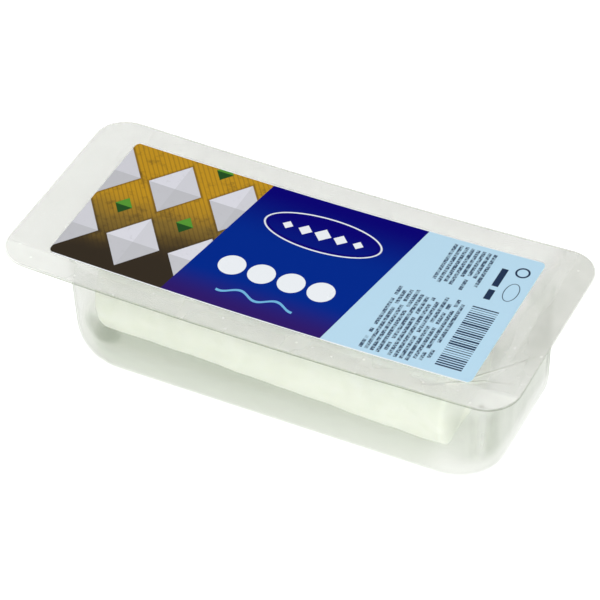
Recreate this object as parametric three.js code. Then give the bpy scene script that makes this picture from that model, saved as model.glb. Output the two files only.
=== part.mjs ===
// A soft white cheese log in its sealed clear pack: a thermoformed tray with a wide flat rim, a clear film
// welded over it, a printed label on the film, and the log lying on the tray's floor.
// Millimetres. X runs along the pack, Z is up, and the origin is under the rim's middle, on the tray's base.
import * as THREE from "three";

// The rim: the flat border that the film is welded to. Its long edges sag towards the middle of the pack.
const RIM_LENGTH = 160;
const RIM_WIDTH = 71;
const RIM_HEIGHT = 40;
const RIM_CORNER = 9.8;
const RIM_SAG = 1.7;

// The tray's walls. An inset runs from the rim's edge to the outside of the wall, just under the rim:
// the left end is the wide one, where the film is pulled open.
const SHEET_THICKNESS = 0.5;
const WALL_INSET = { left: 14.9, right: 7.9, front: 6.2, back: 6.2 };
const WALL_CORNER = 14.5;
const WALL_DRAFT = THREE.MathUtils.degToRad(1.3);
const FLOOR_FILLET = { left: 10.8, right: 4.8, front: 5.3, back: 5.3 };
const CORNER_TIGHTENS = 0.8; // the share of the fillet's inset that the wall's corner loses
const LIP_RADIUS = 1.6;

// The film, and the label stuck on it.
const FILM_THICKNESS = 0.15;
const FILM_SETBACK = 0.2;
const LABEL_LENGTH = 132;
const LABEL_WIDTH = 54.4;
const LABEL_CORNER = 2;
const LABEL_THICKNESS = 0.12;
const LABEL_SHIFT = -0.6;
const SKIN_GAP = 0.08;

// The log. It lies a little askew and nearer the front wall, and rests on a narrow flat. The lower edge of
// each end is drawn in, clear of the tray's rounded floor edge.
const LOG_RADIUS = 17;
const LOG_LENGTH = 116;
const LOG_END_ROUND = 1.8;
const LOG_END_DOME = 1.2;
const LOG_END_TUCK = 3;
const LOG_FLAT = 0.4;
const LOG_UNEVEN = 0.35;
const LOG_MIDDLE = { x: 0, y: -5.75 };
const LOG_YAW = THREE.MathUtils.degToRad(-2.1);
const LOG_FLOOR_GAP = 0.15;

// How finely the curves are divided.
const CORNER_STEPS = 8;
const LONG_SIDE_STEPS = 14;
const SHORT_SIDE_STEPS = 4;
const FILLET_STEPS = 6;
const LIP_STEPS = 3;
const LOG_ROUND_STEPS = 40;
const LOG_BODY_STEPS = 26;
const LOG_END_STEPS = 5;

const CLEAR_COLOUR = 0xe6eae4;
const LABEL_COLOUR = 0x0b3a94;
const CHEESE_COLOUR = 0xf4f5ea;

// How far a point at this height drops: all of the sag at the rim, and none at the base.
function sagAt(x, height) {
  const share = Math.min(1, height / RIM_HEIGHT);
  const along = (2 * x) / RIM_LENGTH;
  return RIM_SAG * share * (1 - along * along);
}

// A closed body through a list of rings of equally many points, each end closed to its ring's middle.
function loft(rings) {
  const count = rings[0].length;
  const points = [];
  const faces = [];
  const middleOf = (ring) => {
    const sum = new THREE.Vector3();
    ring.forEach((p) => sum.add(p));
    return sum.divideScalar(ring.length);
  };
  rings.forEach((ring) => points.push(...ring));
  const first = points.push(middleOf(rings[0])) - 1;
  const last = points.push(middleOf(rings[rings.length - 1])) - 1;
  for (let i = 0; i < count; i++) {
    const next = (i + 1) % count;
    const top = (rings.length - 1) * count;
    faces.push(first, i, next);
    faces.push(top + i, last, top + next);
    for (let k = 0; k < rings.length - 1; k++) {
      const a = k * count;
      const b = a + count;
      faces.push(a + i, b + i, b + next);
      faces.push(a + i, b + next, a + next);
    }
  }
  const geometry = new THREE.BufferGeometry().setFromPoints(points);
  geometry.setIndex(faces);
  geometry.computeVertexNormals();
  return geometry;
}

// A rounded rectangle seen from above, counter-clockwise, set in from the rim's edges and sagging with it.
function planRing(inset, corner, height) {
  const left = -RIM_LENGTH / 2 + inset.left + corner;
  const right = RIM_LENGTH / 2 - inset.right - corner;
  const front = -RIM_WIDTH / 2 + inset.front + corner;
  const back = RIM_WIDTH / 2 - inset.back - corner;
  const corners = [
    { x: right, y: back, steps: LONG_SIDE_STEPS },
    { x: left, y: back, steps: SHORT_SIDE_STEPS },
    { x: left, y: front, steps: LONG_SIDE_STEPS },
    { x: right, y: front, steps: SHORT_SIDE_STEPS },
  ];
  const outline = [];
  corners.forEach((centre, k) => {
    for (let i = 0; i <= CORNER_STEPS; i++) {
      const angle = (k + i / CORNER_STEPS) * (Math.PI / 2);
      outline.push([centre.x + corner * Math.cos(angle), centre.y + corner * Math.sin(angle)]);
    }
    const next = corners[(k + 1) % 4];
    const turned = ((k + 1) * Math.PI) / 2;
    const from = outline[outline.length - 1];
    const to = [next.x + corner * Math.cos(turned), next.y + corner * Math.sin(turned)];
    for (let i = 1; i < centre.steps; i++) {
      const t = i / centre.steps;
      outline.push([from[0] + (to[0] - from[0]) * t, from[1] + (to[1] - from[1]) * t]);
    }
  });
  return outline.map(([x, y]) => new THREE.Vector3(x, y, height - sagAt(x, height)));
}

function eachSide(value) {
  const sides = {};
  Object.keys(WALL_INSET).forEach((side) => {
    sides[side] = value(side);
  });
  return sides;
}

// How far a fillet of this radius has turned in at a height above the floor it ends on.
function filletInset(radius, height) {
  if (height >= radius) return 0;
  const drop = radius - height;
  return radius - Math.sqrt(Math.max(0, radius * radius - drop * drop));
}

// One ring of a wall's skin. depth is 0 on the outside and the sheet's thickness on the inside.
function wallRing(height, depth) {
  const lean = Math.tan(WALL_DRAFT) * (RIM_HEIGHT - height);
  const turn = (side) => filletInset(FLOOR_FILLET[side] - depth, height - depth);
  const inset = eachSide((side) => WALL_INSET[side] + depth + lean + turn(side));
  return planRing(inset, WALL_CORNER - depth - CORNER_TIGHTENS * turn("front"), height);
}

// The heights of a wall's rings, from the floor up through the widest fillet to the lip.
function wallHeights(depth) {
  const radius = FLOOR_FILLET.left - depth;
  const heights = [];
  for (let i = 0; i <= FILLET_STEPS; i++) {
    const angle = (i / FILLET_STEPS) * (Math.PI / 2);
    heights.push(depth + radius * (1 - Math.cos(angle)));
  }
  heights.push((RIM_HEIGHT + radius) / 2);
  return heights;
}

// The turned lip between a wall and the rim, from the wall upwards.
function lipRings(depth) {
  const radius = LIP_RADIUS - SHEET_THICKNESS + depth;
  const top = RIM_HEIGHT - SHEET_THICKNESS + depth;
  const rings = [];
  for (let i = 0; i <= LIP_STEPS; i++) {
    const angle = (1 - i / LIP_STEPS) * (Math.PI / 2);
    const out = radius * (1 - Math.sin(angle));
    const inset = eachSide((side) => WALL_INSET[side] + depth - out);
    rings.push(planRing(inset, WALL_CORNER - depth + out, top - radius * (1 - Math.cos(angle))));
  }
  return rings;
}

function trayGeometry() {
  const edge = eachSide(() => 0);
  const inner = wallHeights(SHEET_THICKNESS).map((height) => wallRing(height, SHEET_THICKNESS));
  const outer = wallHeights(0).map((height) => wallRing(height, 0));
  const skinUp = [...inner, ...lipRings(SHEET_THICKNESS), planRing(edge, RIM_CORNER, RIM_HEIGHT)];
  const under = planRing(edge, RIM_CORNER, RIM_HEIGHT - SHEET_THICKNESS);
  const skinDown = [...outer, ...lipRings(0), under].reverse();
  return loft([...skinUp, ...skinDown]);
}

// A thin sheet with round corners that follows the rim's sag, as sections from its right end to its left.
function sheetGeometry({ length, width, corner, shift, bottom, thickness }) {
  const stations = [];
  for (let i = 0; i <= CORNER_STEPS; i++) {
    const angle = (i / CORNER_STEPS) * (Math.PI / 2);
    const x = length / 2 - corner * (1 - Math.cos(angle));
    stations.push({ x, half: width / 2 - corner * (1 - Math.sin(angle)) });
  }
  const mirrored = [...stations].reverse();
  const straight = length / 2 - corner;
  for (let i = 1; i < LONG_SIDE_STEPS; i++) {
    stations.push({ x: straight * (1 - (2 * i) / LONG_SIDE_STEPS), half: width / 2 });
  }
  mirrored.forEach(({ x, half }) => stations.push({ x: -x, half }));
  const rings = stations.map(({ x, half }) => {
    const low = bottom - sagAt(x + shift, bottom);
    return [
      new THREE.Vector3(x + shift, -half, low),
      new THREE.Vector3(x + shift, half, low),
      new THREE.Vector3(x + shift, half, low + thickness),
      new THREE.Vector3(x + shift, -half, low + thickness),
    ];
  });
  return loft(rings);
}

// The soft log's slight lumps, as a share of its unevenness. s runs along it and angle round it.
function lumps(s, angle) {
  const slow = Math.sin(0.11 * s + 0.9) * Math.cos(2 * angle + 0.03 * s);
  const quick = 0.6 * Math.sin(0.31 * s + 3 * angle) + 0.4 * Math.cos(0.53 * s - 5 * angle);
  return 0.6 * slow + 0.4 * quick;
}

// Where the log's rings lie along its axis and how wide each is, from the right end to the left.
function logStations() {
  const half = LOG_LENGTH / 2;
  const face = LOG_RADIUS - LOG_END_ROUND;
  const straight = half - LOG_END_ROUND - LOG_END_DOME;
  const end = [0.5, 1].map((share) => ({
    x: half - LOG_END_DOME * share * share,
    radius: face * share,
  }));
  for (let i = 1; i <= LOG_END_STEPS; i++) {
    const angle = (i / LOG_END_STEPS) * (Math.PI / 2);
    const x = straight + LOG_END_ROUND * Math.cos(angle);
    end.push({ x, radius: face + LOG_END_ROUND * Math.sin(angle) });
  }
  const stations = [...end];
  for (let i = 1; i < LOG_BODY_STEPS; i++) {
    stations.push({ x: straight * (1 - (2 * i) / LOG_BODY_STEPS), radius: LOG_RADIUS });
  }
  [...end].reverse().forEach(({ x, radius }) => stations.push({ x: -x, radius }));
  return stations;
}

// The log round its own axis, which runs along X through the origin. Its cut ends are a little wavy.
function logGeometry() {
  const rings = logStations().map(({ x, radius }) => {
    const nearEnd = ((2 * x) / LOG_LENGTH) ** 8 * (radius / LOG_RADIUS);
    const ring = [];
    for (let i = 0; i < LOG_ROUND_STEPS; i++) {
      const angle = (i / LOG_ROUND_STEPS) * 2 * Math.PI;
      const reach = radius * (1 + (LOG_UNEVEN / LOG_RADIUS) * lumps(x, angle));
      const wave = LOG_UNEVEN * nearEnd * Math.sin(2 * angle + x);
      const low = Math.max(0, -Math.sin(angle) - 0.7) / 0.3;
      const tuck = LOG_END_TUCK * nearEnd * low * Math.sign(x);
      const z = Math.max(reach * Math.sin(angle), LOG_FLAT - LOG_RADIUS);
      ring.push(new THREE.Vector3(x + wave - tuck, reach * Math.cos(angle), z));
    }
    return ring;
  });
  return loft(rings);
}

function clearPlastic() {
  return new THREE.MeshStandardMaterial({
    color: CLEAR_COLOUR,
    roughness: 0.08,
    metalness: 0,
    transparent: true,
    opacity: 0.3,
    side: THREE.DoubleSide,
  });
}

function namedMesh(name, geometry, material) {
  const mesh = new THREE.Mesh(geometry, material);
  mesh.name = name;
  return mesh;
}

const filmBottom = RIM_HEIGHT + SKIN_GAP;
const labelBottom = filmBottom + FILM_THICKNESS + SKIN_GAP;

const tray = namedMesh("tray", trayGeometry(), clearPlastic());

const film = namedMesh(
  "lid_film",
  sheetGeometry({
    length: RIM_LENGTH - 2 * FILM_SETBACK,
    width: RIM_WIDTH - 2 * FILM_SETBACK,
    corner: RIM_CORNER - FILM_SETBACK,
    shift: 0,
    bottom: filmBottom,
    thickness: FILM_THICKNESS,
  }),
  clearPlastic(),
);

const label = namedMesh(
  "label",
  sheetGeometry({
    length: LABEL_LENGTH,
    width: LABEL_WIDTH,
    corner: LABEL_CORNER,
    shift: LABEL_SHIFT,
    bottom: labelBottom,
    thickness: LABEL_THICKNESS,
  }),
  new THREE.MeshStandardMaterial({ color: LABEL_COLOUR, roughness: 0.35, metalness: 0 }),
);

const log = namedMesh(
  "cheese_log",
  logGeometry(),
  new THREE.MeshStandardMaterial({ color: CHEESE_COLOUR, roughness: 0.6, metalness: 0 }),
);
log.position.set(
  LOG_MIDDLE.x,
  LOG_MIDDLE.y,
  SHEET_THICKNESS + LOG_FLOOR_GAP + LOG_RADIUS - LOG_FLAT,
);
log.rotation.z = LOG_YAW;

const pack = new THREE.Group();
pack.name = "packed_cheese_log";
pack.add(tray, film, label, log);

export default pack;
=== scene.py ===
"""A soft white cheese log in its sealed clear pack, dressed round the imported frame. Metres."""

import math

import bmesh
import bpy
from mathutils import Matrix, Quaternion, Vector, noise


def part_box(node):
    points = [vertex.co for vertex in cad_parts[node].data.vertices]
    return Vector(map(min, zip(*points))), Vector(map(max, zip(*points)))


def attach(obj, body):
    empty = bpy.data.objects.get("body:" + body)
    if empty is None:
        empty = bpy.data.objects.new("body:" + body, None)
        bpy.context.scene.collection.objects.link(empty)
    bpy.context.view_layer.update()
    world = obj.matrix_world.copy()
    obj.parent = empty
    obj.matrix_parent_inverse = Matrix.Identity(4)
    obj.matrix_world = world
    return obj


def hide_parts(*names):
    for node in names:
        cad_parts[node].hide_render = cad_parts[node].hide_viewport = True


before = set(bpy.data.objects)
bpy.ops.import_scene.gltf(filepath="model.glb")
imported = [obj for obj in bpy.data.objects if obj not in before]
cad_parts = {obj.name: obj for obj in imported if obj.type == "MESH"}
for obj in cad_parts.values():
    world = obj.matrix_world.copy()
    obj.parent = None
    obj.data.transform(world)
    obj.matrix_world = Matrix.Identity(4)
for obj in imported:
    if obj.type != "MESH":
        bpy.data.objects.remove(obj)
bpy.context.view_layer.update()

MM = 0.001
# Places closer than this are the same, in metres
HAIR = 1e-6
SMOOTH_ANGLE = math.radians(35)

# The photograph's view, as a camera on a sphere about the point that the image's middle shows.
VIEW_AZIMUTH = 27.25
VIEW_ELEVATION = 41.91
VIEW_ROLL = 1.76
VIEW_DISTANCE = 0.8556
VIEW_AIM = (0.0039, -0.0071, 0.0309)
IMAGE_PIXELS = 600
FOCAL_PIXELS = 3000
SENSOR = 36.0

# The tray, from the frame's own boxes and the same dimensions as its solid. SHEET is its thickness.
TRAY_LOW, TRAY_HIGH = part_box("tray")
FILM_LOW, FILM_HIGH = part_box("lid_film")
LABEL_LOW, LABEL_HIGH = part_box("label")
LOG_LOW, LOG_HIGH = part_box("cheese_log")
RIM_HEIGHT = TRAY_HIGH.z
RIM_CORNER = 9.8 * MM
RIM_SAG = 1.7 * MM
SHEET = 0.5 * MM
WALL_LEFT, WALL_RIGHT, WALL_SIDE = 14.9 * MM, 7.9 * MM, 6.2 * MM
WALL_CORNER = 14.5 * MM
WALL_DRAFT = math.radians(1.3)
FILLET_LEFT, FILLET_RIGHT, FILLET_SIDE = 10.8 * MM, 4.8 * MM, 5.3 * MM
LIP_RADIUS = 1.6 * MM

# How finely the tray is cut: the rows down its wall as shares of the rim's height, the steps round its
# curves, the rings on its floor and the slices that let the rim sag. The rim's outline is drawn RIM_LIFT
# over the lip and then pressed flat.
WALL_ROWS = (0.8, 0.55)
ROW_OVER_FILLET = 3 * MM
CORNER_STEPS = 14
FILLET_STEPS = 9
LIP_STEPS = 9
FLOOR_RINGS = (3 * MM, 8 * MM)
RIM_SLICE = 5 * MM
RIM_LIFT = 30 * MM
MERGE_REACH = 0.05 * MM

# The film and the label. The ripple turns this often per metre along and across, and fades in over the
# hollow, past the wall.
SKIN_GAP = 0.08 * MM
SKIN_SLICE = 3 * MM
FILM_THICKNESS = 0.15 * MM
FILM_RIPPLE = 0.10 * MM
FILM_RIPPLE_TURNS = (28, 40)
FILM_RIPPLE_FADE = 4 * MM
LABEL_THICKNESS = 0.12 * MM
LABEL_CORNER = 2 * MM

# The log, as its solid has it.
LOG_RADIUS = 17 * MM
LOG_LENGTH = 116 * MM
LOG_END_ROUND = 1.8 * MM
LOG_END_DOME = 1.2 * MM
LOG_END_TUCK = 3 * MM
LOG_FLAT = 0.4 * MM
LOG_UNEVEN = 0.35 * MM
LOG_YAW = math.radians(-2.1)
LOG_MIDDLE = ((LOG_LOW.x + LOG_HIGH.x) / 2, -5.75 * MM)
LOG_FLOOR_GAP = 0.15 * MM

# How finely the log is cut, and its roughness: each height with its turns per metre. The cut ends have
# a third number, which sets one end's noise apart from the other's.
LOG_SIDES = 120
LOG_SLICE = 1.3 * MM
LOG_END_STEPS = 7
LOG_END_RINGS = 7
LOG_END_RING = 1.9 * MM
LOG_FINE = ((0.12 * MM, 420), (0.06 * MM, 1300))
LOG_CUT = ((0.25 * MM, 170, 3), (0.2 * MM, 600, 9))
LOG_END_SETBACK = 0.2 * MM


def linear(red, green, blue):
    """A screen colour of 0 to 255 as the linear colour that a shader takes."""
    steps = [value / 255 for value in (red, green, blue)]
    return tuple(s / 12.92 if s <= 0.04045 else ((s + 0.055) / 1.055) ** 2.4 for s in steps) + (1.0,)


# Mesh helpers


def only(piece):
    """Selects this piece alone and makes it active."""
    bpy.ops.object.select_all(action="DESELECT")
    piece.select_set(True)
    bpy.context.view_layer.objects.active = piece


def settle(piece, name):
    """Names a new piece and puts its place into its mesh."""
    only(piece)
    piece.name = name
    bpy.ops.object.transform_apply(location=True, rotation=True, scale=True)
    return piece


def begin_edit(piece):
    only(piece)
    bpy.ops.object.mode_set(mode="EDIT")
    bpy.ops.mesh.select_all(action="SELECT")


def end_edit():
    bpy.ops.object.mode_set(mode="OBJECT")


def pick(piece, kind, wanted):
    """In edit mode, selects the edges or faces that the test accepts, and no others."""
    bpy.ops.mesh.select_mode(type=kind)
    bpy.ops.mesh.select_all(action="DESELECT")
    mesh = bmesh.from_edit_mesh(piece.data)
    for element in mesh.edges if kind == "EDGE" else mesh.faces:
        if wanted(element):
            element.select_set(True)
    mesh.select_flush_mode()
    bmesh.update_edit_mesh(piece.data)


def middle_of(edge):
    return (edge.verts[0].co + edge.verts[1].co) / 2


def slice_along(axis, low, high, step):
    """In edit mode, cuts the whole mesh across one axis at even steps, so that it can bend."""
    normal = [0.0, 0.0, 0.0]
    normal[axis] = 1.0
    count = int((high - low) / step)
    for i in range(1, count):
        place = [0.0, 0.0, 0.0]
        place[axis] = low + (high - low) * i / count
        bpy.ops.mesh.select_all(action="SELECT")
        bpy.ops.mesh.bisect(plane_co=place, plane_no=normal)


def apply_modifier(piece, kind, **settings):
    only(piece)
    modifier = piece.modifiers.new(kind.lower(), kind)
    for key, value in settings.items():
        setattr(modifier, key, value)
    bpy.ops.object.modifier_apply(modifier=modifier.name)


def move_points(piece, place):
    """Moves every vertex to where place(co) says."""
    for vertex in piece.data.vertices:
        vertex.co = place(vertex.co.copy())
    piece.data.update()


def rounded_plate(name, low, high, height, corner):
    """A flat rounded rectangle with one face."""
    middle = ((low[0] + high[0]) / 2, (low[1] + high[1]) / 2, height)
    bpy.ops.mesh.primitive_plane_add(size=1, location=middle)
    piece = bpy.context.object
    piece.scale = (high[0] - low[0], high[1] - low[1], 1)
    settle(piece, name)
    begin_edit(piece)
    bpy.ops.mesh.bevel(offset=corner, segments=CORNER_STEPS, affect="VERTICES")
    end_edit()
    return piece


def sag_at(x, height):
    share = min(1.0, height / RIM_HEIGHT)
    along = x / TRAY_HIGH.x
    return RIM_SAG * share * (1 - along * along)


# The tray


def fillet_inset(radius, height):
    drop = max(0.0, radius - height)
    return radius - math.sqrt(max(0.0, radius * radius - drop * drop))


def wall_box(height):
    """The tray's outside at a height, as (low x, high x, low y, high y, height)."""
    lean = math.tan(WALL_DRAFT) * (RIM_HEIGHT - height)
    left = WALL_LEFT + lean + fillet_inset(FILLET_LEFT, height)
    right = WALL_RIGHT + lean + fillet_inset(FILLET_RIGHT, height)
    side = WALL_SIDE + lean + fillet_inset(FILLET_SIDE, height)
    return (TRAY_LOW.x + left, TRAY_HIGH.x - right, TRAY_LOW.y + side, TRAY_HIGH.y - side, height)


def lip_box(angle):
    """The outside of the turned lip, from the wall at 0 to the rim's underside at a quarter turn."""
    radius = LIP_RADIUS - SHEET
    out = radius * (1 - math.cos(angle))
    height = RIM_HEIGHT - SHEET - radius * (1 - math.sin(angle))
    low_x, high_x, low_y, high_y, _ = wall_box(RIM_HEIGHT)
    return (low_x - out, high_x + out, low_y - out, high_y + out, height)


def extrude_to(now, then):
    """In edit mode, extrudes the selected loop from one box to the next."""
    bpy.ops.mesh.extrude_edges_move()
    grow_x = (then[1] - then[0]) / (now[1] - now[0])
    grow_y = (then[3] - then[2]) / (now[3] - now[2])
    middle = ((now[0] + now[1]) / 2, (now[2] + now[3]) / 2, now[4])
    bpy.ops.transform.resize(value=(grow_x, grow_y, 1), center_override=middle)
    shift = ((then[0] + then[1]) / 2 - middle[0], (then[2] + then[3]) / 2 - middle[1], then[4] - now[4])
    bpy.ops.transform.translate(value=shift)


def extrude_through(now, boxes):
    """In edit mode, extrudes the selected loop from box to box and returns the last one."""
    for then in boxes:
        extrude_to(now, then)
        now = then
    return now


def wall_heights():
    """The rows of the wall from the rim down, and then those of the floor's fillet."""
    heights = [RIM_HEIGHT * share for share in WALL_ROWS] + [FILLET_LEFT + ROW_OVER_FILLET]
    for i in range(FILLET_STEPS, -1, -1):
        heights.append(FILLET_LEFT * (1 - math.cos(math.radians(90 * i / FILLET_STEPS))))
    return heights


def make_cup():
    """The cup as one open surface from floor to lip, and the height at which the lip ends."""
    top = lip_box(0.0)
    cup = rounded_plate("tray_shell", (top[0], top[2]), (top[1], top[3]), top[4], WALL_CORNER)
    begin_edit(cup)
    bpy.ops.mesh.delete(type="ONLY_FACE")
    bpy.ops.mesh.select_all(action="SELECT")
    extrude_through(top, [wall_box(height) for height in wall_heights()])
    bpy.ops.mesh.edge_face_add()
    for ring in FLOOR_RINGS:
        bpy.ops.mesh.inset(thickness=ring, depth=0)
    pick(cup, "EDGE", lambda edge: middle_of(edge).z > top[4] - HAIR)
    last = extrude_through(top, [lip_box(math.radians(90 * i / LIP_STEPS)) for i in range(1, LIP_STEPS + 1)])
    end_edit()
    return cup, last[4]


def join_rim(cup, height):
    """Joins the rim's outline to the cup and bridges from the lip's end out to it, flat."""
    low, high = (TRAY_LOW.x, TRAY_LOW.y), (TRAY_HIGH.x, TRAY_HIGH.y)
    rim = rounded_plate("rim_outline", low, high, height + RIM_LIFT, RIM_CORNER)
    begin_edit(rim)
    bpy.ops.mesh.delete(type="ONLY_FACE")
    end_edit()
    only(cup)
    rim.select_set(True)
    bpy.ops.object.join()
    begin_edit(cup)
    pick(cup, "EDGE", lambda edge: middle_of(edge).z > height - HAIR)
    bpy.ops.mesh.bridge_edge_loops(number_cuts=2, interpolation="LINEAR")
    bpy.ops.transform.resize(value=(1, 1, 0), center_override=(0, 0, height))
    end_edit()


def make_tray():
    shell, lip_height = make_cup()
    join_rim(shell, lip_height)
    begin_edit(shell)
    slice_along(0, TRAY_LOW.x, TRAY_HIGH.x, RIM_SLICE)
    bpy.ops.mesh.select_all(action="SELECT")
    bpy.ops.mesh.remove_doubles(threshold=MERGE_REACH)
    bpy.ops.mesh.normals_make_consistent(inside=True)
    end_edit()
    apply_modifier(shell, "SOLIDIFY", thickness=SHEET, offset=-1.0, use_quality_normals=True)
    move_points(shell, lambda co: Vector((co.x, co.y, co.z - sag_at(co.x, co.z))))
    return shell


# The film and the label


def film_relief(x, y):
    """The lid's slight ripple in metres, which the label follows."""
    return FILM_RIPPLE * noise.noise(Vector((x * FILM_RIPPLE_TURNS[0], y * FILM_RIPPLE_TURNS[1], 0.3)))


def make_sheet(name, low, high, bottom, thickness, corner):
    """A thin skin that follows the rim's sag and the lid's ripple."""
    skin = rounded_plate(name, (low.x, low.y), (high.x, high.y), bottom, corner)
    begin_edit(skin)
    slice_along(0, low.x, high.x, SKIN_SLICE)
    slice_along(1, low.y, high.y, SKIN_SLICE)
    end_edit()

    def lie(co):
        edge = min(co.x - TRAY_LOW.x, TRAY_HIGH.x - co.x, co.y - TRAY_LOW.y, TRAY_HIGH.y - co.y)
        over_hole = min(1.0, max(0.0, (edge - WALL_SIDE) / FILM_RIPPLE_FADE))
        return Vector((co.x, co.y, co.z - sag_at(co.x, RIM_HEIGHT) + film_relief(co.x, co.y) * over_hole))

    move_points(skin, lie)
    apply_modifier(skin, "SOLIDIFY", thickness=thickness, offset=1.0)
    return skin


def make_film():
    bottom = RIM_HEIGHT + SKIN_GAP
    return make_sheet("film_sheet", FILM_LOW, FILM_HIGH, bottom, FILM_THICKNESS, RIM_CORNER)


def make_label():
    bottom = RIM_HEIGHT + SKIN_GAP + FILM_THICKNESS + SKIN_GAP
    return make_sheet("label_print", LABEL_LOW, LABEL_HIGH, bottom, LABEL_THICKNESS, LABEL_CORNER)


# The log


def log_ripple(x, angle):
    """The soft log's lumps round its own axis, from -1 to 1, with x in millimetres."""
    slow = math.sin(0.11 * x + 0.9) * math.cos(2 * angle + 0.03 * x)
    quick = 0.6 * math.sin(0.31 * x + 3 * angle) + 0.4 * math.cos(0.53 * x - 5 * angle)
    return 0.6 * slow + 0.4 * quick


def make_log():
    bpy.ops.mesh.primitive_cylinder_add(
        vertices=LOG_SIDES,
        radius=LOG_RADIUS,
        depth=LOG_LENGTH,
        end_fill_type="NGON",
        rotation=(0, math.radians(90), 0),
    )
    log = settle(bpy.context.object, "cheese_body")
    half = LOG_LENGTH / 2
    begin_edit(log)
    pick(log, "EDGE", lambda edge: abs(middle_of(edge).x) > half - HAIR)
    bpy.ops.mesh.bevel(offset=LOG_END_ROUND, segments=LOG_END_STEPS, affect="EDGES")
    pick(log, "FACE", lambda face: len(face.verts) == LOG_SIDES)
    for _ in range(LOG_END_RINGS):
        bpy.ops.mesh.inset(thickness=LOG_END_RING, depth=0)
    slice_along(0, -half + LOG_END_ROUND, half - LOG_END_ROUND, LOG_SLICE)
    end_edit()

    def swell(co):
        """Where a point of the plain cylinder goes: lumps all round, rough ends, a flat foot."""
        angle = math.atan2(co.z, co.y)
        radius = math.hypot(co.y, co.z)
        share = radius / LOG_RADIUS
        lump = LOG_UNEVEN * log_ripple(co.x / MM, angle)
        fine = sum(height * noise.noise(co * turns) for height, turns in LOG_FINE)
        reach = radius + (lump + fine) * share
        near_end = (abs(co.x) / half) ** 8
        side = math.copysign(1.0, co.x)
        cut = 0.0
        for height, turns, apart in LOG_CUT:
            cut += height * noise.noise(Vector((side * apart, co.y * turns, co.z * turns)))
        dome = LOG_END_DOME * share * share + LOG_END_SETBACK
        low = max(0.0, -math.sin(angle) - 0.7) / 0.3
        x = co.x + near_end * (cut - side * (dome + LOG_END_TUCK * low * share))
        z = max(reach * math.sin(angle), LOG_FLAT - LOG_RADIUS)
        return Vector((x, reach * math.cos(angle), z))

    move_points(log, swell)
    only(log)
    log.rotation_euler = (0, 0, LOG_YAW)
    log.location = (LOG_MIDDLE[0], LOG_MIDDLE[1], SHEET + LOG_FLOOR_GAP + LOG_RADIUS - LOG_FLAT)
    return settle(log, "cheese_body")


# Materials


class Wire:
    """One shader socket. Arithmetic on it adds Math nodes."""

    def __init__(self, graph, socket):
        self.graph = graph
        self.socket = socket

    def math(self, operation, *others, **settings):
        inputs = {0: self}
        inputs.update({i + 1: other for i, other in enumerate(others)})
        return self.graph.add("ShaderNodeMath", {"operation": operation, **settings}, inputs)

    def reflected(self, operation, other):
        return self.graph.add("ShaderNodeMath", {"operation": operation}, {0: other, 1: self})

    def __add__(self, other):
        return self.math("ADD", other)

    def __radd__(self, other):
        return self.math("ADD", other)

    def __sub__(self, other):
        return self.math("SUBTRACT", other)

    def __rsub__(self, other):
        return self.reflected("SUBTRACT", other)

    def __mul__(self, other):
        return self.math("MULTIPLY", other)

    def __rmul__(self, other):
        return self.math("MULTIPLY", other)

    def __truediv__(self, other):
        return self.math("DIVIDE", other)

    def __pow__(self, other):
        return self.math("POWER", other)

    def __abs__(self):
        return self.math("ABSOLUTE")

    def most(self, other):
        return self.math("MAXIMUM", other)

    def clamped(self):
        return self.math("ADD", 0.0, use_clamp=True)


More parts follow.
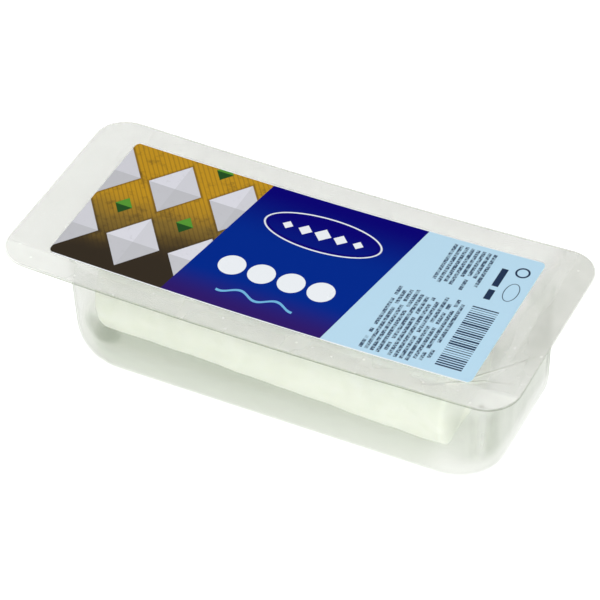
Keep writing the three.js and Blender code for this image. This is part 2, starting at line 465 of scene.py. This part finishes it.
class Graph:
    """A material's node tree."""

    def __init__(self, name):
        self.material = bpy.data.materials.new(name)
        self.material.use_nodes = True
        self.tree = self.material.node_tree
        self.tree.nodes.clear()

    def add(self, kind, settings=None, inputs=None, output=0):
        """Adds a node, sets what it is, then gives its sockets their values or links."""
        node = self.tree.nodes.new(kind)
        for key, value in (settings or {}).items():
            setattr(node, key, value)
        for key, value in (inputs or {}).items():
            if isinstance(value, Wire):
                self.tree.links.new(value.socket, node.inputs[key])
            else:
                node.inputs[key].default_value = value
        return Wire(self, node.outputs[output])

    def place(self):
        """Object coordinates in millimetres: the vector and its three parts."""
        metres = self.add("ShaderNodeTexCoord", output="Object")
        vector = self.add("ShaderNodeVectorMath", {"operation": "SCALE"}, {0: metres, "Scale": 1 / MM})
        parts = [self.add("ShaderNodeSeparateXYZ", {}, {0: vector}, output=i) for i in range(3)]
        return vector, parts

    def noise(self, vector, scale, detail=2.0, roughness=0.5):
        inputs = {"Vector": vector, "Scale": scale, "Detail": detail, "Roughness": roughness}
        return self.add("ShaderNodeTexNoise", {}, inputs, output="Fac")

    def cells(self, x, y):
        """A random value for each pair of whole numbers."""
        vector = self.add("ShaderNodeCombineXYZ", {}, {0: x, 1: y})
        return self.add("ShaderNodeTexWhiteNoise", {"noise_dimensions": "2D"}, {"Vector": vector})

    def blend(self, share, under, over):
        settings = {"data_type": "RGBA", "blend_type": "MIX", "clamp_factor": True}
        return self.add("ShaderNodeMix", settings, {0: share, 6: under, 7: over}, output=2)

    def ramp(self, value, low, high, out_low=0.0, out_high=1.0):
        settings = {"interpolation_type": "SMOOTHSTEP", "clamp": True}
        inputs = {"Value": value, "From Min": low, "From Max": high, "To Min": out_low, "To Max": out_high}
        return self.add("ShaderNodeMapRange", settings, inputs)

    def segment(self, x, y, start, end):
        """How far a place lies from the straight line between two points."""
        run_x, run_y = end[0] - start[0], end[1] - start[1]
        size = run_x * run_x + run_y * run_y
        share = (((x - start[0]) * run_x + (y - start[1]) * run_y) / size).clamped()
        off_x = x - start[0] - share * run_x
        off_y = y - start[1] - share * run_y
        return (off_x * off_x + off_y * off_y) ** 0.5

    def oval(self, x, y, middle, reach, most):
        """A soft oval patch, at most this strong in its middle."""
        off_x = (x - middle[0]) / reach[0]
        off_y = (y - middle[1]) / reach[1]
        return self.ramp(off_x * off_x + off_y * off_y, 0.2, 1.2, most, 0.0)

    def bump(self, height, depth):
        return self.add("ShaderNodeBump", {}, {"Height": height, "Distance": depth, "Strength": 1.0})

    def shade(self, **sockets):
        """A Principled shader; a socket's name has its spaces as underscores."""
        inputs = {key.replace("_", " "): value for key, value in sockets.items()}
        return self.add("ShaderNodeBsdfPrincipled", {}, inputs)

    def layer(self, share, under, over):
        """Two shaders, with this share of the second."""
        return self.add("ShaderNodeMixShader", {}, {0: share, 1: under, 2: over})

    def finish(self, surface):
        """Links the surface to the material's output."""
        node = self.tree.nodes.new("ShaderNodeOutputMaterial")
        self.tree.links.new(surface.socket, node.inputs["Surface"])
        return self.material


CLEAR_TINT = (0.98, 0.982, 0.974, 1.0)
MILK = (0.88, 0.89, 0.86, 1.0)
# The colour of the painted shadow and shade on the tray
SHADOW_TINT = (0.415, 0.47, 0.365, 1.0)
FILM_MARK_AND_SHADE_TINT = (0.37, 0.38, 0.31, 1.0)
PURE_WHITE = (1.0, 1.0, 1.0, 1.0)
PLASTIC_ROUGHNESS = 0.03
PLASTIC_IOR = 1.45
# How much the tray's surface mirrors seen head on, and how much more edge on
SHEEN_HEAD_ON, SHEEN_EDGE_ON = 0.04, 0.9
# The film's share of light that goes straight on; the rest is refracted
FILM_STRAIGHT = 0.45
# The depths of the bumps on each material
PLASTIC_RELIEF = 0.08 * MM
CHEESE_RELIEF = 0.4 * MM
PAPER_RELIEF = 0.02 * MM


def see_through(graph, colour):
    """Light that goes straight through a thin sheet."""
    return graph.add("ShaderNodeBsdfTransparent", {}, {"Color": colour})


def clear_plastic(graph, body, haze, marks_and_shade, marks_and_shade_colour):
    """Finishes thin clear plastic: its clean body, then its marks and painted shade, and a milky haze."""
    body = graph.layer(marks_and_shade, body, see_through(graph, marks_and_shade_colour))
    bright = graph.add("ShaderNodeBsdfDiffuse", {}, {"Color": MILK})
    glow = graph.add("ShaderNodeBsdfTranslucent", {}, {"Color": MILK})
    body = graph.layer(haze, body, graph.layer(0.5, bright, glow))
    for ray in ("Is Diffuse Ray", "Is Shadow Ray"):
        share = graph.add("ShaderNodeLightPath", output=ray)
        body = graph.layer(share, body, see_through(graph, CLEAR_TINT))
    return graph.finish(body)


# Places in the pack, in millimetres: the film's crease and its fork, a nick in the front weld, the painted
# shadow under the log's left end, and the middle of the round right front corner
CREASE = ((51.0, -32.6), (55.5, -31.8), (62.5, -27.1), (72.7, -16.0), (78.0, -10.0))
CREASE_FORK = ((60.5, -28.5), (68.5, -24.5), (76.5, -23.0))
NICK, NICK_REACH = (72.0, -34.2), (1.0, 0.6)
END_SHADOW, END_SHADOW_REACH = (-58.0, -15.0), (6.0, 4.0)
CORNER_X = (TRAY_HIGH.x - WALL_RIGHT - WALL_CORNER) / MM
CORNER_Y = (TRAY_LOW.y + WALL_SIDE + WALL_CORNER) / MM
# A painted highlight and a painted shade stripe down that corner, by their angle round its middle in degrees
HIGHLIGHT_STRIPE, SHADE_STRIPE = -41.0, -27.0


def painted_shadow(graph, x, y, z):
    """Painted shadow low in the tray under the log, thinner to the right, with a darker painted contact
    shadow under the log's left end.
    """
    low_shadow = graph.ramp(y, -28.0, -12.0, 0.2, 0.64) * graph.ramp(z, 0.7, 3.5, 1.0, 0.4)
    low_shadow = low_shadow * graph.ramp(z, 4.0, 12.0, 1.0, 0.0) * graph.ramp(x + y * 0.5, -20.0, 48.0, 1.0, 0.77)
    low_shadow = low_shadow * graph.ramp(x, 46.0, 60.0, 1.0, 0.2)
    return low_shadow + graph.oval(x, y, END_SHADOW, END_SHADOW_REACH, 0.3) * graph.ramp(z, 5.0, 9.0, 1.0, 0.0)


def rim_edge_shade(graph, x, y):
    """The rim's cut edge, drawn as a line of painted shade, darker in front and fading at the left end."""
    past_x = (abs(x) - (TRAY_HIGH.x - RIM_CORNER) / MM).most(0.0)
    past_y = (abs(y) - (TRAY_HIGH.y - RIM_CORNER) / MM).most(0.0)
    inside = (past_x * past_x + past_y * past_y) ** 0.5 - RIM_CORNER / MM
    edge = graph.ramp(inside, -0.3, -0.1) * graph.ramp(y, -34.0, -5.0, 0.5, 0.2)
    return edge * graph.ramp(x, -80.0, -60.0, 0.3, 1.0)


def clear_tray():
    """Thermoformed sheet with faint draw marks down its walls, painted shadow low inside, painted shade at
    its ends, edges and round corner, and a painted highlight down that corner.
    """
    graph = Graph("clear_tray")
    vector, (x, y, z) = graph.place()
    drawn = graph.add("ShaderNodeCombineXYZ", {}, {0: x * 0.22, 1: y * 0.22, 2: z * 0.012})
    streak = graph.noise(drawn, 1.0, 2.0)
    wall = graph.ramp(z, 5.0, 12.0) * graph.ramp(z, 29.0, 36.0, 1.0, 0.0)
    below_rim = graph.ramp(z, 5.0, 12.0) * graph.ramp(z, 23.0, 30.0, 1.0, 0.0)
    turn = (y - CORNER_Y).math("ARCTAN2", x - CORNER_X) * (180 / math.pi)
    corner = graph.ramp(x, 58.0, 62.0) * below_rim

    haze = graph.ramp(graph.noise(vector, 0.05, 2.0), 0.3, 0.7, 0.06, 0.09)
    haze = haze + graph.ramp(streak, 0.5, 0.75, 0.0, 0.06) * wall * graph.ramp(x, 20.0, 60.0)
    # Painted highlight: a pale milky stripe down the round right front corner
    haze = haze + graph.ramp(abs(turn - HIGHLIGHT_STRIPE), 1.0, 8.0, 0.17, 0.0) * corner

    # Painted shade: darker towards the right end of the wall, a dark stripe down the round corner, and
    # faintly darker towards the left
    side = graph.ramp(x, 56.0, 68.0, 0.0, 0.26) * graph.ramp(streak, 0.35, 0.65, 0.8, 1.0) * below_rim
    side = side + graph.ramp(abs(turn - SHADE_STRIPE), 2.0, 14.0, 0.06, 0.0) * corner
    side = side + graph.ramp(x, -60.0, 20.0, 0.03, 0.0) * wall
    facing = graph.add("ShaderNodeLayerWeight", {}, {"Blend": 0.5}, output=1)
    # Painted shade along the outline, where the sheet is seen edge on
    outline_shade = graph.ramp(facing, 0.76, 1.0, 0.0, 0.5)
    marks_and_shade = (painted_shadow(graph, x, y, z) + side + outline_shade + rim_edge_shade(graph, x, y)).clamped()

    relief = (graph.noise(vector, 0.09, 1.0) * 0.6 + streak * 0.4) * wall
    gloss = graph.shade(
        Base_Color=PURE_WHITE,
        Metallic=1.0,
        Roughness=PLASTIC_ROUGHNESS,
        Normal=graph.bump(relief, PLASTIC_RELIEF),
    )
    sheen = facing ** 5.0 * SHEEN_EDGE_ON + SHEEN_HEAD_ON
    body = graph.layer(sheen, see_through(graph, CLEAR_TINT), gloss)
    return clear_plastic(graph, body, haze, marks_and_shade, SHADOW_TINT)


def clear_film():
    """The lid film: milky, with creases by the right corner and wrinkles along the front weld, drawn darker
    by painted shade, and painted shade towards the right end and faintly over the hollow.
    """
    graph = Graph("clear_film")
    vector, (x, y, _) = graph.place()
    crease = 0.0
    for line in (CREASE, CREASE_FORK):
        for start, end in zip(line, line[1:]):
            ridge = graph.ramp(graph.segment(x, y, start, end), 0.0, 0.45, 1.0, 0.0)
            crease = ridge.most(crease)
    slow = graph.noise(vector, 0.07, 2.0)
    drawn = graph.add("ShaderNodeCombineXYZ", {}, {0: x * 0.16, 1: y * 1.6})
    wrinkle = graph.ramp(graph.noise(drawn, 1.0, 3.0, 0.6), 0.5, 0.72)
    front = graph.ramp(y, -33.6, -30.5, 1.0, 0.0) * graph.ramp(abs(x + 30), 12.0, 45.0, 1.0, 0.25)
    relief = slow * 0.7 + crease * 0.9 + wrinkle * front * 0.15
    # Painted shade: darker towards the right end, and faintly over the hollow
    right = graph.ramp(x, 62.0, 70.0, 0.0, 0.12) + graph.ramp(x, 70.0, 74.0, 0.0, 0.11)
    right = right * graph.ramp(y, -26.0, -2.0)
    right = right + graph.ramp(y, -29.0, -25.0, 0.0, 0.03)
    nick = graph.oval(x, y, NICK, NICK_REACH, 0.8)
    shade = (wrinkle * front * 0.08 + crease * 0.3 + right + nick).clamped()
    specks = graph.cells((x * 1.6).math("FLOOR"), (y * 1.6).math("FLOOR"))
    milky = graph.ramp(slow, 0.3, 0.7, 0.08, 0.12) + graph.ramp(specks, 0.994, 0.997) * 0.12
    milky = milky + graph.ramp(y, -28.5, -26.5, 0.16, 0.0) + graph.ramp(x, -80.0, -50.0, 0.1, 0.0)
    milky = milky + graph.ramp(x, 66.0, 74.0, 0.0, 0.16)
    glass = graph.shade(
        Base_Color=CLEAR_TINT,
        Roughness=PLASTIC_ROUGHNESS,
        IOR=PLASTIC_IOR,
        Transmission_Weight=1.0,
        Normal=graph.bump(relief, PLASTIC_RELIEF),
    )
    body = graph.layer(FILM_STRAIGHT, glass, see_through(graph, CLEAR_TINT))
    return clear_plastic(graph, body, milky, shade, FILM_MARK_AND_SHADE_TINT)


CURD = linear(226, 232, 215)
CURD_PALE = linear(233, 238, 224)
# The painted shade of the cut ends
CURD_END_SHADE = linear(206, 213, 199)


def cheese():
    graph = Graph("moist_cheese")
    vector, (x, _, _) = graph.place()
    mottle = graph.noise(vector, 0.25, 4.0)
    grain = graph.noise(vector, 2.2, 4.0, 0.6)
    colour = graph.blend(graph.ramp(mottle, 0.3, 0.7), CURD, CURD_PALE)
    half = LOG_LENGTH / MM / 2
    # Painted shade: the cut ends darker than the side
    end_shade = graph.ramp(abs(x), half - 2.2, half - 0.8, 0.0, 0.6)
    colour = graph.blend(end_shade, colour, CURD_END_SHADE)
    normal = graph.bump(mottle * 0.4 + grain * 0.25, CHEESE_RELIEF)
    rough = graph.ramp(grain, 0.3, 0.7, 0.38, 0.55)
    skin = graph.shade(
        Base_Color=colour,
        Roughness=rough,
        Subsurface_Weight=0.35,
        Subsurface_Radius=(1.0, 0.9, 0.7),
        Subsurface_Scale=0.003,
        Normal=normal,
    )
    return graph.finish(skin)


class Print:
    """The label's printed fields, painted one over the other in millimetres from its middle."""

    def __init__(self, graph, x, y, ground):
        self.graph = graph
        self.x = x
        self.y = y
        self.colour = ground

    def paint(self, mask, colour):
        self.colour = self.graph.blend(mask, self.colour, colour)

    def edge(self, distance, soft=0.12):
        """A mask from a signed distance that is negative inside."""
        return (0.5 - distance / soft).clamped()

    def disc(self, x, y, radius_x, radius_y=None):
        radius_y = radius_y or radius_x
        across = (self.x - x) / radius_x
        along = (self.y - y) / radius_y
        reach = (across * across + along * along) ** 0.5
        return self.edge((reach - 1) * min(radius_x, radius_y))

    def block(self, x, y, width, height):
        across = abs(self.x - x) - width / 2
        along = abs(self.y - y) - height / 2
        return self.edge(across.most(along), 0.08)


BLUE = linear(0, 40, 138)
VIOLET = linear(6, 0, 112)
PURPLE = linear(50, 22, 98)
PALE_BLUE = linear(182, 215, 234)
OCHRE = linear(190, 144, 34)
TAN = linear(128, 103, 46)
DARK_BROWN = linear(52, 44, 34)
PALE = linear(216, 216, 224)
PALE_SHADE = linear(176, 177, 180)
GREEN = linear(84, 148, 52)
GREEN_DARK = linear(34, 78, 34)
WHITE = linear(232, 236, 240)
SKY = linear(112, 178, 218)
INK = linear(36, 52, 80)

# The lozenge pattern's repeat in millimetres, and one unit across its slanted cells
LOZENGE_WIDTH, LOZENGE_HEIGHT = 20.0, 26.0
LOZENGE_UNIT = 1 / math.hypot(1 / LOZENGE_WIDTH, 1 / LOZENGE_HEIGHT)
LOZENGE_MIDDLE = -46.0
# The blue band between two straight, leaning sides
BAND_LEAN = 0.17
BAND_HALF = 25.0
# The small print's left edge and its pitches: between lines, words and marks, and between bars
PRINT_LEFT = 31.2
LINE_PITCH = 1.75
WORD_PITCH = 1.7
MARK_PITCH = 0.4
BAR_PITCH = 0.92
WHITE_BORDER = 0.25


def paint_lozenges(card, vector):
    """An ochre and brown ground with large pale lozenges in four facets and small green ones between."""
    graph, x, y = card.graph, card.x, card.y
    cloud = graph.noise(vector, 0.09, 3.0)
    lit = graph.ramp(y - x * 0.25 + cloud * 14 - 7, -12.0, 30.0)
    card.paint(graph.ramp(lit, 0.0, 0.5), TAN)
    card.paint(graph.ramp(lit, 0.4, 0.95), OCHRE)
    mottle = graph.noise(vector, 0.32, 5.0, 0.65)
    card.paint(graph.ramp(mottle, 0.5, 0.72, 0.0, 0.45), DARK_BROWN)

    across, up = (x - LOZENGE_MIDDLE) / LOZENGE_WIDTH, y / LOZENGE_HEIGHT
    rise, fall = across + up, across - up
    hatch = abs((rise * 12).math("FRACT") - 0.5)
    card.paint(graph.ramp(hatch, 0.0, 0.25, 0.35, 0.0), DARK_BROWN)
    rise_cell, fall_cell = rise.math("FLOOR"), fall.math("FLOOR")
    large = ((rise_cell + fall_cell) * 0.5).math("FRACT") * 2
    in_rise, in_fall = rise.math("FRACT") - 0.5, fall.math("FRACT") - 0.5
    reach = abs(in_rise).most(abs(in_fall))

    card.paint(graph.ramp(reach, 0.42, 0.5, 0.6, 0.0) * large, DARK_BROWN)
    face = card.edge((reach - 0.43) * LOZENGE_UNIT) * large
    card.paint(face, PALE)
    right = card.edge((in_rise + in_fall) * (-LOZENGE_WIDTH / 2))
    low = card.edge((in_rise - in_fall) * (LOZENGE_HEIGHT / 2))
    card.paint(face * right * 0.3, PALE_SHADE)
    card.paint(face * low * 0.6, PALE_SHADE)
    fleck = graph.noise(vector, 0.7, 5.0, 0.6)
    card.paint(face * graph.ramp(fleck, 0.56, 0.78, 0.0, 0.3), PALE_SHADE)

    some = graph.ramp(graph.cells(rise_cell, fall_cell), 0.4, 0.42) * (1 - large)
    card.paint(card.edge((reach - 0.14) * LOZENGE_UNIT) * some, GREEN_DARK)
    card.paint(card.edge((reach - 0.14) * LOZENGE_UNIT) * (1 - low) * some, GREEN)


def paint_middle(card):
    """The leaning blue band with its ellipse, rounds and wavy line."""
    graph, x, y = card.graph, card.x, card.y
    blue = graph.blend(graph.ramp(y, 3.0, 26.0), BLUE, VIOLET)
    blue = graph.blend(graph.ramp(y, -27.0, -13.0, 0.9, 0.0), blue, PURPLE)
    lean = x - y * BAND_LEAN
    card.paint(card.edge(BAND_HALF - lean), PALE_BLUE)
    card.paint(card.edge(abs(lean) - BAND_HALF), blue)

    ring_y, row_y, wave_y = 13.0, -9.5, -19.5
    ring_x, row_x, wave_x = BAND_LEAN * ring_y, BAND_LEAN * row_y, BAND_LEAN * wave_y
    ring_wide, ring_tall, ring_line = 18.1, 7.0, 0.5
    card.paint(card.disc(ring_x, ring_y, ring_wide + ring_line, ring_tall + ring_line), WHITE)
    card.paint(card.disc(ring_x, ring_y, ring_wide, ring_tall), VIOLET)
    glow = graph.ramp(y, 7.0, 18.0, 0.4, 0.0)
    card.paint(card.disc(ring_x, ring_y, ring_wide - 0.9, ring_tall - 0.9) * glow, BLUE)
    diamond_pitch, diamond_half = 5.6, 2.7
    for i in range(-2, 3):
        reach = abs(x - ring_x - i * diamond_pitch) + abs(y - ring_y)
        card.paint(card.edge(reach - (diamond_half - 0.5 * abs(i))), WHITE)
    round_pitch, round_radius = 9.4, 4.1
    for i in range(4):
        card.paint(card.disc(row_x + round_pitch * (i - 1.5), row_y, round_radius), WHITE)
    wave_half_width, wave_rise, wave_half_length = 0.45, 1.2, 12.0
    wave = abs(y - wave_y - (x * 0.55).math("SINE") * wave_rise) - wave_half_width
    card.paint(card.edge(wave.most(abs(x - wave_x) - wave_half_length)), SKY)


def paint_small_print(card):
    """Rows of marks too fine to read, a field of bars and plain rings."""
    graph, x, y = card.graph, card.x, card.y
    row = ((x - PRINT_LEFT) / LINE_PITCH).math("FLOOR")
    middle = abs(((x - PRINT_LEFT) / LINE_PITCH).math("FRACT") - 0.5)
    half_row = ((x - PRINT_LEFT) / (LINE_PITCH / 2)).math("FLOOR")
    word = graph.cells(row, (y / WORD_PITCH).math("FLOOR"))
    mark = graph.cells(row * 2.0 + half_row, (y / MARK_PITCH).math("FLOOR"))
    rag = graph.cells(row, 7.0)
    lower = card.block(42.0, -11.0, 21.0, 29.0) * card.edge(y - rag * 3.0 - 0.5)
    upper = card.block(45.5, 15.0, 14.0, 20.0) * card.edge(7.0 + rag * 7.0 - y)
    ink = card.edge(middle - 0.31, 0.1) * graph.ramp(word, 0.1, 0.12) * graph.ramp(mark, 0.2, 0.7, 0.35, 0.9)
    card.paint((lower + upper).clamped() * ink, INK)

    bar = graph.cells((y / BAR_PITCH).math("FLOOR"), 5.0)
    thin = abs((y / BAR_PITCH).math("FRACT") - 0.5) - bar * 0.3 - 0.1
    card.paint(card.block(57.9, -10.5, 8.0, 26.5) * card.edge(thin, 0.06), INK)
    for strip_y, length in ((8.6, 4.4), (16.4, 8.0)):
        card.paint(card.block(56.2, strip_y, 2.0, length), INK)
    card.paint(card.disc(61.4, 20.6, 2.2) - card.disc(61.4, 20.6, 1.6), INK)
    card.paint(card.disc(61.6, 11.6, 2.2, 4.0) - card.disc(61.6, 11.6, 1.95, 3.75), INK)


def printed_label():
    graph = Graph("printed_label")
    vector, (x, y, _) = graph.place()
    card = Print(graph, x - (LABEL_LOW.x + LABEL_HIGH.x) / 2 / MM, y, DARK_BROWN)
    paint_lozenges(card, vector)
    paint_middle(card)
    paint_small_print(card)
    card.paint(card.edge(LABEL_HIGH.y / MM - WHITE_BORDER - abs(y)), WHITE)
    fibre = graph.noise(vector, 1.5, 2.0)
    return graph.finish(
        graph.shade(
            Base_Color=card.colour,
            Roughness=0.5,
            Specular_IOR_Level=0.02,
            Normal=graph.bump(fibre, PAPER_RELIEF),
        )
    )


def dress(piece, material, node):
    piece.data.materials.clear()
    piece.data.materials.append(material)
    only(piece)
    bpy.ops.object.shade_smooth_by_angle(angle=SMOOTH_ANGLE)
    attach(piece, "root")
    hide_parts(node)


# The studio


# The pale floor lies just under the pack and glows as strongly as the sky low down
FLOOR_SIZE = 6
FLOOR_DROP = 0.2 * MM
LOW_LIGHT, HIGH_LIGHT = 0.85, 0.37


def make_stage():
    bpy.ops.mesh.primitive_plane_add(size=FLOOR_SIZE, location=(0, 0, -FLOOR_DROP))
    floor = settle(bpy.context.object, "floor")
    graph = Graph("bright_floor")
    surface = graph.shade(
        Base_Color=(0.35, 0.35, 0.35, 1.0),
        Roughness=0.9,
        Emission_Color=PURE_WHITE,
        Emission_Strength=LOW_LIGHT,
    )
    floor.data.materials.append(graph.finish(surface))


def area_light(name, place, aim, size, power):
    bpy.ops.object.light_add(type="AREA", location=place)
    lamp = bpy.context.object
    lamp.name = name
    lamp.rotation_euler = (Vector(aim) - Vector(place)).to_track_quat("-Z", "Y").to_euler()
    lamp.data.shape = "RECTANGLE"
    lamp.data.size, lamp.data.size_y = size
    lamp.data.energy = power


def make_lights():
    world = bpy.data.worlds.new("studio")
    bpy.context.scene.world = world
    world.use_nodes = True
    tree = world.node_tree
    direction = tree.nodes.new("ShaderNodeTexCoord")
    height = tree.nodes.new("ShaderNodeSeparateXYZ")
    fade = tree.nodes.new("ShaderNodeMapRange")
    fade_values = {"From Min": 0.12, "From Max": 0.45, "To Min": LOW_LIGHT, "To Max": HIGH_LIGHT}
    for key, value in fade_values.items():
        fade.inputs[key].default_value = value
    tree.links.new(direction.outputs["Generated"], height.inputs[0])
    tree.links.new(height.outputs["Z"], fade.inputs["Value"])
    tree.links.new(fade.outputs[0], tree.nodes["Background"].inputs["Strength"])
    tree.nodes["Background"].inputs["Color"].default_value = PURE_WHITE
    area_light("softbox_top", (0.05, -0.2, 1.3), (0, 0, 0.02), (0.9, 0.7), 7.6)
    area_light("softbox_front", (0.28, -0.55, 0.4), (0.03, 0, 0.02), (0.45, 0.3), 1.5)
    area_light("softbox_right", (1.1, -0.3, 0.6), (0, 0, 0.02), (0.5, 0.4), 2.0)


def make_camera():
    azimuth, elevation = math.radians(VIEW_AZIMUTH), math.radians(VIEW_ELEVATION)
    back = Vector(
        (
            math.sin(azimuth) * math.cos(elevation),
            -math.cos(azimuth) * math.cos(elevation),
            math.sin(elevation),
        )
    )
    bpy.ops.object.camera_add(location=Vector(VIEW_AIM) + back * VIEW_DISTANCE)
    camera = bpy.context.object
    camera.rotation_mode = "QUATERNION"
    roll = Quaternion((0, 0, 1), math.radians(-VIEW_ROLL))
    camera.rotation_quaternion = back.to_track_quat("Z", "Y") @ roll
    camera.data.sensor_width = SENSOR
    camera.data.lens = FOCAL_PIXELS / IMAGE_PIXELS * SENSOR
    camera.data.clip_start = 0.05
    bpy.context.scene.camera = camera


make_camera()
make_stage()
make_lights()
dress(make_tray(), clear_tray(), "tray")
dress(make_film(), clear_film(), "lid_film")
dress(make_label(), printed_label(), "label")
dress(make_log(), cheese(), "cheese_log")
bpy.context.scene.view_settings.view_transform = "Standard"
